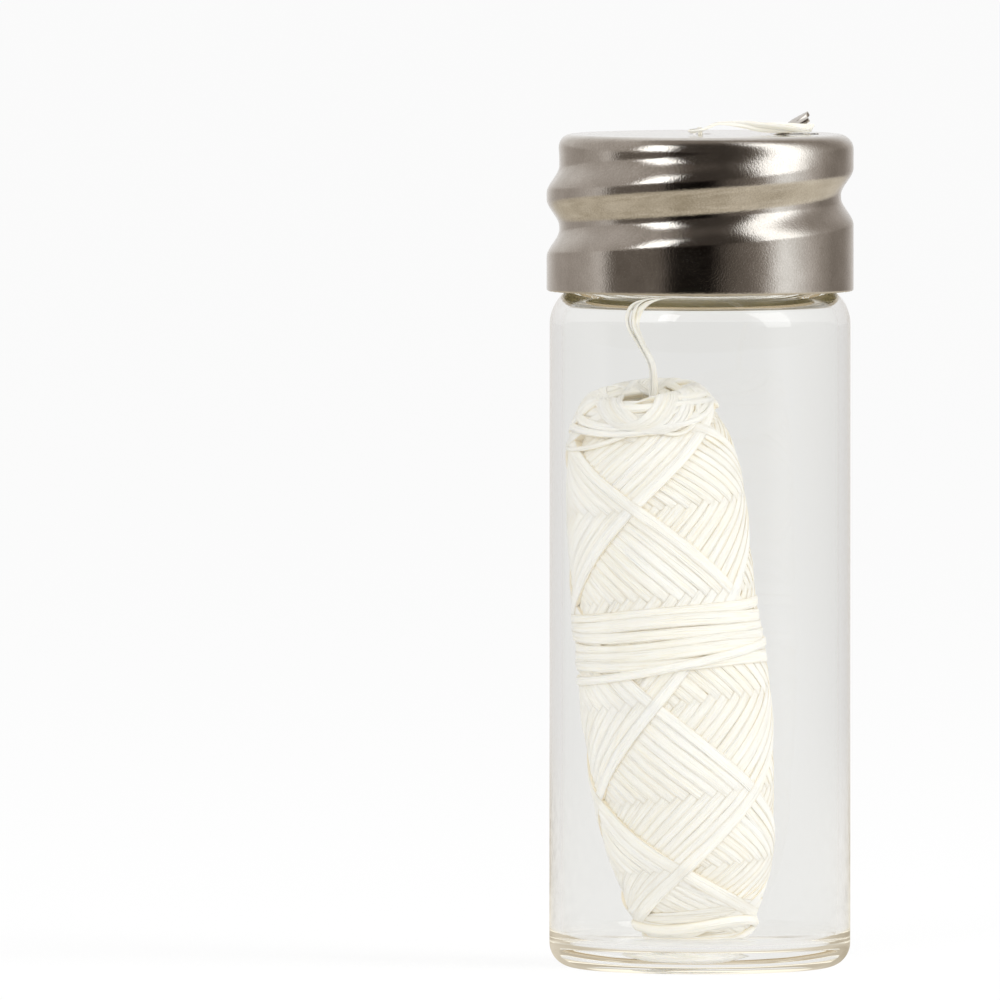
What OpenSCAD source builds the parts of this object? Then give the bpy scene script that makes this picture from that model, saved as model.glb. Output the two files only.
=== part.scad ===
// Dental floss dispenser: a glass vial with a rolled-thread metal cap, and a
// cross-wound floss spool inside. The floss is drawn through the cap's centre
// hole and torn on a tab lanced from its top. Millimetres, +Z up, origin at the
// middle of the base. Angles run from +X towards +Y; the photo looks along +Y.

/* [Vial] */
// Outer diameter of the vial's body
vial_d = 25; // [24:0.5:30]
// Wall thickness of the body
glass_wall = 1; // [0.8:0.1:1.5]
// Height of the straight body, from the base to where the shoulder starts
body_h = 53.4; // [53:0.5:75]
// Height from the shoulder's start to the lip
neck_h = 14.4; // [14:0.2:18]
// How far the neck stands in from the side of the body
neck_inset = 1.7; // [1.6:0.05:2.2]
// Wall thickness of the neck
neck_wall = 1.2; // [1:0.1:2]
// Radius of the shoulder
shoulder_r = 3.5; // [2.5:0.1:4]
// Radius of the corner round the base
heel_r = 2; // [1:0.1:3]
// Thickness of the floor
floor_t = 1.8; // [1.2:0.1:3]
// Radius of the corner inside the base
inner_heel_r = 1.4; // [0.8:0.1:2]
// Diameter of the hollow pressed up under the base
punt_d = 16; // [10:0.5:19]
// Height of the hollow pressed up under the base
punt_h = 0.4; // [0.2:0.1:0.8]
// Rounding of the lip
lip_r = 0.5; // [0.3:0.05:0.55]

/* [Thread] */
// Rise of the thread in one turn
thread_pitch = 5.3; // [5:0.1:6]
// Height of the glass thread over the neck
thread_h = 1.1; // [0.8:0.05:1.2]
// Width of the glass thread where it meets the neck
thread_w = 2.2; // [1.6:0.1:2.4]
// From the lip down to the rolled groove where it is full, on the left
thread_drop = 6.5; // [6.2:0.1:7]
// Width of the rolled groove, flank to flank
groove_w = 4.8; // [4:0.1:5]
// Clearance between the glass thread's crest and the cap
thread_gap = 0.45; // [0.3:0.05:0.6]
// Clearance between the rolled groove and the neck
groove_gap = 0.5; // [0.3:0.05:0.7]

/* [Cap] */
// Height of the cap
cap_h = 13; // [12:0.2:13.8]
// Thickness of the cap's sheet metal
sheet_t = 0.4; // [0.3:0.05:0.5]
// Outer corner radius round the cap's top
cap_corner_r = 1.2; // [0.8:0.1:1.4]
// Diameter of the hole that the floss is drawn through
floss_hole_d = 1.8; // [1.2:0.1:3]
// Thickness of the sealing disc under the cap's top
liner_t = 1; // [0.6:0.1:1.5]
// How far the sealing disc stops inside the neck's side
liner_inset = 0.25; // [0.2:0.05:0.6]
// Diameter of the sealing disc's centre hole
liner_hole_d = 3; // [2:0.1:4]

/* [Cutter tab] */
// From the cap's axis to the fold of the tab
tab_reach = 5.9; // [4:0.1:6]
// Length of the tab from its fold to its tip
tab_len = 3.8; // [3:0.1:4]
// Width of the tab at its fold
tab_w = 3; // [2:0.1:4]
// Width of the tab at its tip
tab_tip_w = 1.9; // [1.4:0.1:2]
// Angle that the tab is raised by
tab_rise = 30; // [20:1:45]
// Depth of the notch in the tab's tip that holds the floss
notch_depth = 1.1; // [0.6:0.1:1.4]
// Width of the notch at the tip
notch_w = 0.8; // [0.4:0.1:1]
// Gap that the lancing leaves beside the tab
lance_gap = 0.15; // [0.1:0.05:0.3]

/* [Floss] */
// Length of the spool
spool_h = 46.4; // [42:0.2:47]
// Largest diameter of the spool over its turns
spool_d = 15.9; // [14:0.1:16]
// Thickness of one band of floss on the spool
band_d = 0.6; // [0.4:0.05:0.65]
// Free space between one band and the next
band_gap = 0.55; // [0.5:0.01:0.65]
// Diameter of the hollow that the floss is drawn from
hollow_d = 3.6; // [3:0.1:4]
// Depth of that hollow
hollow_depth = 7.9; // [7.9:0.1:12]
// Turns of the wrap round the spool's waist
belt_turns = 6; // [4:1:7]
// Clearance between the spool and the glass
seat_gap = 0.2; // [0.15:0.05:0.4]
// Clearance between the spool's core and its first layer of bands
core_gap = 0.25; // [0.22:0.01:0.3]
// How far right of the vial's axis the spool's foot stands
foot_x = 0.3; // [0:0.1:0.6]
// Diameter of the drawn strand inside the vial
strand_d = 0.8; // [0.6:0.05:1]
// Diameter of the loose end on the cap
tail_d = 0.5; // [0.4:0.05:0.5]

/* [Hidden] */

// Every cut runs past its face by this much
overrun = 0.6;

// Vial
vial_r = vial_d / 2;
inner_r = vial_r - glass_wall;
neck_r = vial_r - neck_inset;
bore_r = neck_r - neck_wall;
vial_h = body_h + neck_h;
punt_r = punt_d / 2;
punt_ball_r = (punt_r * punt_r + punt_h * punt_h) / (2 * punt_h);

// Cap: its wall clears the thread's crest and its groove clears the neck
cap_r = neck_r + thread_h + thread_gap + sheet_t;
groove_depth = thread_h + thread_gap - groove_gap;
cap_top = vial_h + liner_t + sheet_t;
cap_foot = cap_top - cap_h;
plate_under = cap_top - sheet_t;
plate_margin = 0.1;
plate_r = cap_r - groove_depth - cap_corner_r - plate_margin;

// The groove's helix: its height on the left, where it is full, and the angles
// over which it fades in, closes up against the corner and fades out
groove_z = vial_h - thread_drop;
groove_full = 180;
groove_in = [80, 165];
groove_close = [400, 530];
groove_out = [560, 660];
groove_floor_share = 0.17;
close_share = 2;

// The glass thread runs midway between two turns of the groove
ridge_z = groove_z + thread_pitch / 2;
ridge_run = [-120, 345];
ridge_fade = 30;
ridge_steps = 46;
ridge_root = neck_r - neck_wall / 3;
ridge_crest_share = 0.3;

// Facets of the rolled wall
around = 48;
wall_rows = 20;
corner_rows = 4;

// Spool: a barrel that draws in slowly to its foot and quickly to its rim, with
// a waist for the belt and a funnel down to the hollow
spool_r = spool_d / 2;
layer = band_d + band_gap;
first_layer = band_d / 2 + core_gap;
core_r = spool_r - first_layer - layer - band_d / 2;
foot_share = 0.5;
foot_power = 3;
top_share = 0.4;
top_power = 4.5;
track_half = spool_h / 2 - layer;
track_mid = spool_h / 2;
belt_h = belt_turns * layer;
belt_share = 0.035;
belt_mid = track_mid + spool_h * belt_share;
waist_fade = 3 * layer;
core_steps = 24;
dome_steps = 4;
funnel_depth = 4.5;
rim_t = 0.5;

// Cross-winding: each pass down and up again gains one eighth of a turn
passes = 8;
turns_per_pass = 2 + 1 / passes;
loops = passes * turns_per_pass;
rings_per_loop = 24;
switch_angle = 9.5;

// The spool stands on the floor and leans against the left of the glass
rest_share = 0.88;
rest_s = spool_h * rest_share;
rest_r = barrel_r((rest_s - track_mid) / track_half) + first_layer + layer + band_d / 2;
spool_lean = atan2(inner_r - seat_gap - rest_r + foot_x, rest_s);
foot_z = floor_t + seat_gap + core_r * (1 - top_share) * sin(spool_lean);

// Route of the drawn strand, from the hollow of the spool to the cap's hole
strand_route = [[-3.6, 0, 39.6], [-3.7, 0, 40.5], [-3.9, 0, 42.5], [-4, -0.1, 44.5],
    [-4, -0.2, 46.5], [-3.9, -0.2, 48.5], [-4.1, -0.2, 50.2], [-4.9, -0.2, 51.8],
    [-5.6, -0.2, 53.4], [-5.4, -0.2, 55.2], [-4.6, -0.2, 57], [-3.5, -0.1, 59],
    [-2.2, 0, 61.2], [-1.1, 0, 63.2], [-0.3, 0, 65.2], [0, 0, 67.2], [0, 0, 69.1]];

// Route of the loose end, out of the hole, over the cap and under the tab
tail_route = [[0, 0, 69.1], [0, 0, 69.4], [0, -0.2, 69.6], [-0.1, -0.6, 69.7],
    [-0.3, -1.6, 69.6], [-0.7, -3, 69.6], [-0.9, -4.4, 69.6], [-0.7, -5.4, 69.6],
    [-0.1, -5.8, 69.7], [0.6, -5.4, 69.9], [1.3, -4.8, 70.2], [2.4, -4, 70.2],
    [3.7, -3.2, 70.1], [5, -2.7, 69.9], [6.2, -2.4, 69.8], [7.4, -2.1, 69.7],
    [8.4, -1.4, 69.6], [8.9, -0.4, 69.6], [9, 0.8, 69.6]];
route_sides = 8;
band_sides = 6;

// 0 before the first value, 1 after the second, and smooth between them
function ease(x, span) =
    let (t = min(1, max(0, (x - span[0]) / (span[1] - span[0]))))
    t * t * (3 - 2 * t);

function unit(v) = v / norm(v);

// Height of the groove's centre at an angle counted on from the left side
function groove_at(a) = groove_z + thread_pitch * (a - groove_full) / 360;

// Depth of the groove at an angle and a height above its centre: flat at the
// bottom, and held in up to the corner where it closes up against it
function groove_cut(a, up) =
    let (half = groove_w / 2,
        reach = up > 0 ? up / (1 + close_share * ease(a, groove_close)) : -up,
        away = ease(reach, [half * groove_floor_share, half]))
    groove_depth * ease(a, groove_in) * (1 - ease(a, groove_out)) * (1 - away);

function wall_r(a, z) =
    cap_r - max(groove_cut(a, z - groove_at(a)), groove_cut(a + 360, z - groove_at(a + 360)));

// The wall's section at one angle: up the outside, over the corner, and back
function cap_outside(a) = concat(
    [for (i = [0:wall_rows])
        let (z = cap_foot + (cap_top - cap_corner_r - cap_foot) * i / wall_rows)
        [wall_r(a, z), z]],
    [for (i = [1:corner_rows])
        let (t = 90 * i / corner_rows, z = cap_top - cap_corner_r * (1 - sin(t)))
        [wall_r(a, z) - cap_corner_r * (1 - cos(t)), z]],
    [[plate_r - sheet_t, cap_top]]);

function cap_inside(a) = concat(
    [[plate_r - sheet_t, plate_under]],
    [for (i = [corner_rows:-1:1])
        let (t = 90 * i / corner_rows, z = cap_top - cap_corner_r * (1 - sin(t)))
        [wall_r(a, z) - cap_corner_r + (cap_corner_r - sheet_t) * cos(t),
            cap_top - cap_corner_r + (cap_corner_r - sheet_t) * sin(t)]],
    [for (i = [wall_rows:-1:0])
        let (z = cap_foot + (cap_top - cap_corner_r - cap_foot) * i / wall_rows)
        [wall_r(a, z) - sheet_t, z]]);

// Radius of the spool's core, by height from -1 at the foot to 1 at the top
function waist(c) =
    1 - ease(abs(track_mid + track_half * c - belt_mid), [belt_h / 2, belt_h / 2 + waist_fade]);

function barrel_r(c) =
    core_r * (1 - (c < 0 ? foot_share * pow(-c, foot_power) : top_share * pow(c, top_power)));

function core_at(c) = [barrel_r(c) - layer * waist(c), track_mid + track_half * c];

function core_normal(c) =
    let (step = 0.01, d = core_at(c + step) - core_at(c - step))
    unit([d[1], -d[0]]);

// The band's centre line: it changes layer while it turns round at an end
function layer_at(u) =
    let (w = u % 360,
        top = ease(w > 180 ? w - 360 : w, [-switch_angle, switch_angle]),
        foot = ease(w, [180 - switch_angle, 180 + switch_angle]))
    first_layer + layer * (w > 90 && w < 270 ? foot : 1 - top);

function winding_at(u) =
    let (c = cos(u), p = core_at(c) + core_normal(c) * layer_at(u), a = turns_per_pass * u)
    [p[0] * cos(a), p[0] * sin(a), p[1]];

function belt_at(a) =
    let (s = belt_mid + belt_h * (a / (360 * belt_turns) - 0.5),
        r = core_at((s - track_mid) / track_half)[0] + first_layer + 2 * layer)
    [r * cos(a), r * sin(a), s];

winding_line = [for (i = [0:loops * rings_per_loop])
    winding_at(switch_angle + i * (360 * passes - 2 * switch_angle) / (loops * rings_per_loop))];
belt_line = [for (i = [0:belt_turns * rings_per_loop]) belt_at(360 * i / rings_per_loop)];

// Least free space between a line and itself, between points far enough apart
// along it, with the middles of its steps counted too
function halves(line) = [for (i = [0:len(line) - 2]) each [line[i], (line[i] + line[i + 1]) / 2]];
function least_gap(line, skip) =
    let (p = halves(line))
    min([for (i = [0:len(p) - 1]) for (j = [i + skip:len(p) - 1]) norm(p[i] - p[j])]) - band_d;
function least_between(a, b) =
    min([for (p = halves(a)) for (q = halves(b)) norm(p - q)]) - band_d;

echo(str("winding, least gap to itself ", least_gap(winding_line, 8)));
echo(str("belt, least gap to itself ", least_gap(belt_line, 8)));
echo(str("winding to belt, least gap ", least_between(winding_line, belt_line)));

// A tube of straight-sided rings along a line, turned as little as possible
function heading(line, i) =
    unit(line[min(i + 1, len(line) - 1)] - line[max(i - 1, 0)]);

function square_to(v, t) = unit(v - t * (v * t));

function side_axes(line, first) =
    [for (i = 0, n = square_to(first, heading(line, 0)); i < len(line);
        i = i + 1, n = square_to(n, heading(line, min(i, len(line) - 1)))) n];

module tube(line, d, sides, first) {
    axes = side_axes(line, first);
    points = [for (i = [0:len(line) - 1])
        let (n = axes[i], b = cross(heading(line, i), n))
        for (k = [0:sides - 1])
            line[i] + (n * cos(360 * k / sides) + b * sin(360 * k / sides)) * d / 2];
    last = (len(line) - 1) * sides;
    polyhedron(points, concat(
        [for (k = [1:sides - 2]) [0, k, k + 1]],
        [for (k = [1:sides - 2]) [last, last + k + 1, last + k]],
        [for (i = [0:len(line) - 2]) for (k = [0:sides - 1])
            let (p = i * sides + k, q = i * sides + (k + 1) % sides)
            each [[p, p + sides, q], [q, p + sides, q + sides]]]));
}

module vial_outline() {
    square([vial_r - heel_r, body_h]);
    translate([0, heel_r]) square([vial_r, body_h - heel_r]);
    translate([vial_r - heel_r, heel_r]) circle(r = heel_r, $fn = 64);
    translate([vial_r - shoulder_r, body_h]) circle(r = shoulder_r, $fn = 96);
    square([vial_r - shoulder_r, body_h + shoulder_r]);
    square([neck_r, vial_h - lip_r]);
    square([neck_r - lip_r, vial_h]);
    translate([neck_r - lip_r, vial_h - lip_r]) circle(r = lip_r, $fn = 48);
}

module vial_inside() {
    inner_shoulder_r = shoulder_r - glass_wall;
    translate([0, floor_t]) square([inner_r - inner_heel_r, body_h - floor_t]);
    translate([0, floor_t + inner_heel_r]) square([inner_r, body_h - floor_t - inner_heel_r]);
    translate([inner_r - inner_heel_r, floor_t + inner_heel_r]) circle(r = inner_heel_r, $fn = 48);
    translate([vial_r - shoulder_r, body_h]) circle(r = inner_shoulder_r, $fn = 96);
    translate([0, floor_t]) square([vial_r - shoulder_r, body_h + inner_shoulder_r - floor_t]);
    translate([0, body_h]) square([bore_r, neck_h + overrun]);
}

// The glass thread: a ridge that rises a pitch a turn, rooted inside the neck's
// wall, whose ends sink into it
module glass_thread() {
    flank = (thread_w / 2) * (1 - ridge_crest_share) / thread_h;
    points = [for (i = [0:ridge_steps])
        let (a = ridge_run[0] + (ridge_run[1] - ridge_run[0]) * i / ridge_steps,
            grown = ease(a, [ridge_run[0], ridge_run[0] + ridge_fade])
                * (1 - ease(a, [ridge_run[1] - ridge_fade, ridge_run[1]])),
            z = ridge_z + thread_pitch * (a - groove_full) / 360,
            crest = neck_r + thread_h * grown - (neck_r - ridge_root) * (1 - grown) / 2,
            tip = thread_w / 2 - flank * (crest - neck_r),
            root = thread_w / 2 + flank * (neck_r - ridge_root))
        for (p = [[ridge_root, z - root], [crest, z - tip], [crest, z + tip],
                [ridge_root, z + root]])
            [p[0] * cos(a), p[0] * sin(a), p[1]]];
    sides = 4;
    last = ridge_steps * sides;
    polyhedron(points, concat(
        [[0, 2, 1], [0, 3, 2], [last, last + 1, last + 2], [last, last + 2, last + 3]],
        [for (i = [0:ridge_steps - 1]) for (k = [0:sides - 1])
            let (p = i * sides + k, q = i * sides + (k + 1) % sides)
            each [[p, q, p + sides], [q, q + sides, p + sides]]]));
}

module glass_vial() {
    color([0.86, 0.9, 0.9, 0.4]) {
        difference() {
            rotate_extrude($fn = 128) vial_outline();
            rotate_extrude($fn = 128) vial_inside();
            translate([0, 0, punt_h - punt_ball_r]) sphere(r = punt_ball_r, $fn = 128);
        }
        glass_thread();
    }
}

// The rolled wall and corner of the cap, one closed sheet
module cap_wall() {
    count = len(cap_outside(0)) + len(cap_inside(0));
    points = [for (i = [0:around - 1])
        let (a = 360 * i / around)
        for (p = concat(cap_outside(a), cap_inside(a))) [p[0] * cos(a), p[0] * sin(a), p[1]]];
    polyhedron(points, [for (i = [0:around - 1]) for (k = [0:count - 1])
        let (p = i * count + k, q = i * count + (k + 1) % count,
            r = ((i + 1) % around) * count + k, s = ((i + 1) % around) * count + (k + 1) % count)
        each [[p, q, r], [q, s, r]]]);
}

module cap_plate() {
    difference() {
        translate([0, 0, plate_under]) cylinder(h = sheet_t, r = plate_r, $fn = 96);
        translate([0, 0, plate_under - overrun])
            cylinder(h = sheet_t + 2 * overrun, d = floss_hole_d, $fn = 48);
        translate([tab_reach, -tab_w / 2 - lance_gap, plate_under - overrun])
            cube([tab_len + lance_gap, tab_w + 2 * lance_gap, sheet_t + 2 * overrun]);
    }
}

// The tab, lanced from the plate and raised about its fold, with a notched tip
module cutter_tab() {
    translate([tab_reach, 0, cap_top - sheet_t / 2]) rotate([0, -tab_rise, 0]) {
        translate([0, 0, -sheet_t / 2]) linear_extrude(sheet_t)
            polygon([[0, -tab_w / 2], [tab_len, -tab_tip_w / 2], [tab_len, -notch_w / 2],
                [tab_len - notch_depth, 0], [tab_len, notch_w / 2], [tab_len, tab_tip_w / 2],
                [0, tab_w / 2]]);
        rotate([90, 0, 0]) cylinder(h = tab_w, d = sheet_t, center = true, $fn = 32);
    }
}

module screw_cap() {
    color("silver") {
        cap_wall();
        cap_plate();
        cutter_tab();
    }
}

module cap_liner() {
    color("ivory") translate([0, 0, vial_h]) difference() {
        cylinder(h = liner_t, r = neck_r - liner_inset, $fn = 96);
        translate([0, 0, -overrun]) cylinder(h = liner_t + 2 * overrun, d = liner_hole_d, $fn = 48);
    }
}

// Puts what is drawn up a spool's own axis where the spool leans in the vial
module in_vial() {
    translate([foot_x, 0, foot_z]) rotate([0, -spool_lean, 0]) children();
}

module floss_core() {
    top = core_at(1);
    mouth_r = top[0] - rim_t;
    flare = (mouth_r - hollow_d / 2) / funnel_depth;
    low = core_at(-1);
    color("cornsilk") in_vial() difference() {
        rotate_extrude($fn = 96) polygon(concat(
            [[0, layer / 2]],
            [for (i = [1:dome_steps - 1])
                let (t = 90 * i / dome_steps)
                [low[0] * sin(t), low[1] - (low[1] - layer / 2) * cos(t)]],
            [for (i = [0:core_steps]) core_at(2 * i / core_steps - 1)],
            [[0, top[1]]]));
        translate([0, 0, top[1] - hollow_depth])
            cylinder(h = hollow_depth + overrun, d = hollow_d, $fn = 48);
        translate([0, 0, top[1] - funnel_depth])
            cylinder(h = funnel_depth + overrun, r1 = hollow_d / 2, r2 = mouth_r + flare * overrun,
                $fn = 48);
    }
}

module floss_winding() {
    color("linen") in_vial() tube(winding_line, band_d, band_sides, [0, 0, 1]);
}

module floss_belt() {
    color("seashell") in_vial() tube(belt_line, band_d, band_sides, [0, 0, 1]);
}

module floss_strand() {
    color("seashell") tube(strand_route, strand_d, route_sides, [0, 1, 0]);
}

module floss_tail() {
    color("seashell") tube(tail_route, tail_d, route_sides, [1, 0, 0]);
}

glass_vial();
screw_cap();
cap_liner();
floss_core();
floss_winding();
floss_belt();
floss_strand();
floss_tail();
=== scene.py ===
import math
import bpy
import bmesh
import numpy as np
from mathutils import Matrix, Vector


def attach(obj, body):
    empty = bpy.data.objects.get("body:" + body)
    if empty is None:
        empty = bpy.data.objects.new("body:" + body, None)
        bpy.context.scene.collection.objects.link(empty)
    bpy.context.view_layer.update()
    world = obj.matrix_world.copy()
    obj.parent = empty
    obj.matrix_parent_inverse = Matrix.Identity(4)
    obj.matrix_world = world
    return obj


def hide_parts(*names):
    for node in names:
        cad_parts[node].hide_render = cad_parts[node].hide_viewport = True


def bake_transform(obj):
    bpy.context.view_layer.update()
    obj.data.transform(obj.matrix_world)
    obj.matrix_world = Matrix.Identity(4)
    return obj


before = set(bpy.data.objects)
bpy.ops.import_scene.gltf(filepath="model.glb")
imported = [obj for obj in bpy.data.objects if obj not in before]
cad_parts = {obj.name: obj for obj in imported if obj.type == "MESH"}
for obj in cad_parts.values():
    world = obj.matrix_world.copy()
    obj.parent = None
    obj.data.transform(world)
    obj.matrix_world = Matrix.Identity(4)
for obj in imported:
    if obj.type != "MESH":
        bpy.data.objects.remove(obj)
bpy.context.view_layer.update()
print("frame loaded:", ", ".join(sorted(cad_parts)))

mm = 0.001
turn = 2 * math.pi


# Small helpers

def newPiece(name):
    piece = bpy.context.object
    piece.name = name
    piece.data.name = name
    return piece


def pickNone():
    bpy.ops.object.select_all(action="DESELECT")


def pickOnly(piece):
    pickNone()
    piece.select_set(True)
    bpy.context.view_layer.objects.active = piece


def startEdit(piece):
    pickOnly(piece)
    bpy.ops.object.mode_set(mode="EDIT")
    bpy.ops.mesh.select_all(action="DESELECT")


def pickAll():
    bpy.ops.mesh.select_all(action="SELECT")


def endEdit():
    bpy.ops.object.mode_set(mode="OBJECT")


def applyModifiers(piece):
    pickOnly(piece)
    for modifier in list(piece.modifiers):
        bpy.ops.object.modifier_apply(modifier=modifier.name)


def arc(centre, radius, start, end, steps):  # points of an arc, angles in degrees
    angles = [math.radians(start + (end - start) * i / steps) for i in range(steps + 1)]
    return [(centre[0] + radius * math.cos(a), centre[1] + radius * math.sin(a)) for a in angles]


def ease(x, low, high):  # 0 below low, 1 above high, smooth between
    t = np.clip((x - low) / (high - low), 0, 1)
    return t * t * (3 - 2 * t)


def curveThrough(shape, fine=24):  # Catmull-Rom curve through points, and the length along it
    p = np.array(shape, float)
    p = np.vstack([2 * p[0] - p[1], p, 2 * p[-1] - p[-2]])
    t = np.linspace(0, 1, fine, endpoint=False)[:, None]
    runs = [0.5 * (2 * b + (c - a) * t + (2 * a - 5 * b + 4 * c - d) * t ** 2
                   + (3 * b - a - 3 * c + d) * t ** 3)
            for a, b, c, d in zip(p, p[1:], p[2:], p[3:])]
    line = np.vstack(runs + [p[-2][None]])
    along = np.concatenate([[0], np.cumsum(np.linalg.norm(np.diff(line, axis=0), axis=1))])
    return line, along


# An outline of (radius, height) in mm is drawn point by point, then spun round +Z
def turnOutline(name, outline, steps):
    pickNone()
    bpy.ops.mesh.primitive_plane_add(size=mm)
    piece = newPiece(name)
    startEdit(piece)
    pickAll()
    bpy.ops.mesh.merge(type="CENTER")
    (r, z), rest = outline[0], outline[1:]
    bpy.ops.transform.translate(value=(r * mm, 0, z * mm))
    for nextR, nextZ in rest:
        move = ((nextR - r) * mm, 0, (nextZ - z) * mm)
        bpy.ops.mesh.extrude_region_move(TRANSFORM_OT_translate={"value": move})
        r, z = nextR, nextZ
    pickAll()
    bpy.ops.mesh.spin(steps=steps, angle=turn, center=(0, 0, 0), axis=(0, 0, 1))
    pickAll()
    bpy.ops.mesh.remove_doubles(threshold=0.002 * mm)
    bpy.ops.mesh.normals_make_consistent(inside=False)
    endEdit()
    return piece


def points(piece):
    co = np.zeros(len(piece.data.vertices) * 3)
    piece.data.vertices.foreach_get("co", co)
    return co.reshape(-1, 3)


def movePoints(piece, co):
    piece.data.vertices.foreach_set("co", np.ascontiguousarray(co).ravel())
    piece.data.update()


def volumeOf(piece):
    mesh = bmesh.new()
    mesh.from_mesh(piece.data)
    size = mesh.calc_volume(signed=True)
    mesh.free()
    return size


def smoothShade(piece, angle):
    pickOnly(piece)
    bpy.ops.object.shade_smooth_by_angle(angle=math.radians(angle))


def placeUv(mesh, uv):  # one place for each vertex
    corners = np.zeros(len(mesh.loops), int)
    mesh.loops.foreach_get("vertex_index", corners)
    layer = mesh.uv_layers.get("UVMap") or mesh.uv_layers.new(name="UVMap")
    layer.data.foreach_set("uv", uv[corners].ravel())


def tubeFaces(count, sides, first=0):  # quads from ring to ring, and a face over each end
    i, k = np.meshgrid(np.arange(count - 1), np.arange(sides), indexing="ij")
    a, b = first + i * sides + k, first + i * sides + (k + 1) % sides
    quads = np.stack([a, b, b + sides, a + sides], -1).reshape(-1, 4).tolist()
    last = first + (count - 1) * sides
    return quads + [list(range(first, first + sides))[::-1], list(range(last, last + sides))]


def makeFlossMesh(name, spots, faces, uv, tone, angle, material):
    mesh = bpy.data.meshes.new(name)
    mesh.from_pydata((spots.reshape(-1, 3) * mm).tolist(), [], faces)
    piece = bpy.data.objects.new(name, mesh)
    bpy.context.scene.collection.objects.link(piece)
    placeUv(mesh, uv)
    mesh.attributes.new("bandTone", "FLOAT", "POINT").data.foreach_set("value", tone)
    mesh.validate()
    smoothShade(piece, angle)
    mesh.materials.append(material)
    return piece


# Camera

view = {
    "axisPixel": 700,  # where the vial's axis stands in the photograph
    "basePixel": 967,  # where its base stands
    "pixelsPerMm": 12.04,
    "distance": 2.0,
    "height": 0.130,
    "sensor": 36,
}


def makeCamera():
    aimX = (500 - view["axisPixel"]) / view["pixelsPerMm"] * mm
    aimZ = (view["basePixel"] - 500) / view["pixelsPerMm"] * mm
    place = Vector((aimX, -view["distance"], view["height"]))
    look = Vector((aimX, 0, aimZ)) - place
    bpy.ops.object.camera_add(location=place)
    camera = bpy.context.object
    camera.rotation_mode = "QUATERNION"
    camera.rotation_quaternion = look.to_track_quat("-Z", "Y")
    camera.data.sensor_width = view["sensor"]
    camera.data.lens = view["pixelsPerMm"] / mm * look.length * view["sensor"] / 1000
    camera.data.clip_end = 20
    bpy.context.scene.camera = camera


makeCamera()
print("camera made")

# Shader nodes. A source is a socket, which is linked, or a value, which is set

def feed(tree, socket, source):
    if isinstance(source, bpy.types.NodeSocket):
        tree.links.new(source, socket)
    else:
        socket.default_value = source


def setInputs(tree, node, **sources):
    for label, source in sources.items():
        feed(tree, node.inputs[label.replace("_", " ")], source)


def addNode(tree, kind, **sources):
    node = tree.nodes.new("ShaderNode" + kind)
    setInputs(tree, node, **sources)
    return node


def addMath(tree, operation, *sources, kind="Math"):
    node = addNode(tree, kind)
    node.operation = operation
    for socket, source in zip(node.inputs, sources):
        feed(tree, socket, source)
    return node.outputs[0]


def addMix(tree, factor, first, second):
    node = addNode(tree, "Mix")
    node.data_type = "RGBA"
    tree.links.new(factor, node.inputs["Factor"])
    for label, source in (("A", first), ("B", second)):
        if isinstance(source, float):
            source = (source,) * 3
        feed(tree, node.inputs[label], (*source, 1) if isinstance(source, tuple) else source)
    return node.outputs["Result"]


def addStep(tree, source, low, high):  # 0 below low, 1 above high, smooth between
    node = addNode(tree, "MapRange", Value=source, From_Min=low, From_Max=high)
    node.interpolation_type = "SMOOTHSTEP"
    return node.outputs[0]


def addRamp(tree, source, stops):
    node = addNode(tree, "ValToRGB", Fac=source)
    for place, colour in stops[1:-1]:
        node.color_ramp.elements.new(place)
    for stop, (place, colour) in zip(node.color_ramp.elements, stops):
        stop.position = place
        stop.color = (*colour, 1)
    return node.outputs["Color"]


def addBump(tree, height, distance, strength, **under):
    bump = addNode(tree, "Bump", Height=height, Distance=distance, Strength=strength, **under)
    return bump.outputs["Normal"]


def addGroup(tree, group, **sources):
    node = addNode(tree, "Group")
    node.node_tree = group
    setInputs(tree, node, **sources)
    return node.outputs


def axes(tree, vector):
    return addNode(tree, "SeparateXYZ", Vector=vector).outputs


def place(tree, kind):
    return addNode(tree, "TexCoord").outputs[kind]


def newMaterial(name, **values):
    material = bpy.data.materials.new(name)
    material.use_nodes = True
    tree = material.node_tree
    surface = tree.nodes["Principled BSDF"]
    setInputs(tree, surface, **values)
    return material, tree, surface


# Floor, surroundings and lamps

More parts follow.
